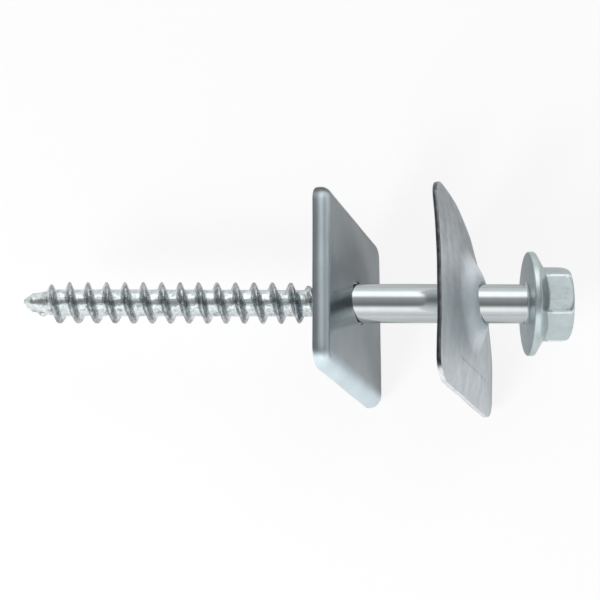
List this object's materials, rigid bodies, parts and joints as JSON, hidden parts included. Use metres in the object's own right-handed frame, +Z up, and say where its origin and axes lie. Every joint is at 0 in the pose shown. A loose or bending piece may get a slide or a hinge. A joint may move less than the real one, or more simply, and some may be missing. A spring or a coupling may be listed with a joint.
{
  "type": "lag screw",
  "caption": "Hex-flange lag screw lying on its side, carried by loose pressed plates that lean on its plain shank.",
  "frame": {"origin": "centre of the flange's bearing face, on the screw's axis", "axes": "+X along the screw's axis from the point towards the head, +Z up as the screw lies, +Y across it"},
  "size_m": [0.1044, 0.0387, 0.0356],
  "materials": {
    "screw": "bright zinc plating, smooth on the shank and grainy on the rolled thread",
    "inner_plate": "smooth satin zinc plating",
    "outer_plate": "mottled galvanised sheet with draw marks and scratches"
  },
  "bodies": {
    "screw": {"screw": "screw"},
    "inner_plate": {"inner_plate": "inner_plate"},
    "outer_plate": {"outer_plate": "outer_plate"}
  },
  "joints": [
    {"name": "inner_slide", "type": "slide", "parent": "screw", "child": "inner_plate", "axis": [1, 0, 0], "range_m": [-0.068, 0.002]},
    {"name": "outer_slide", "type": "slide", "parent": "screw", "child": "outer_plate", "axis": [1, 0, 0], "range_m": [-0.014, 0.0055]}
  ]
}
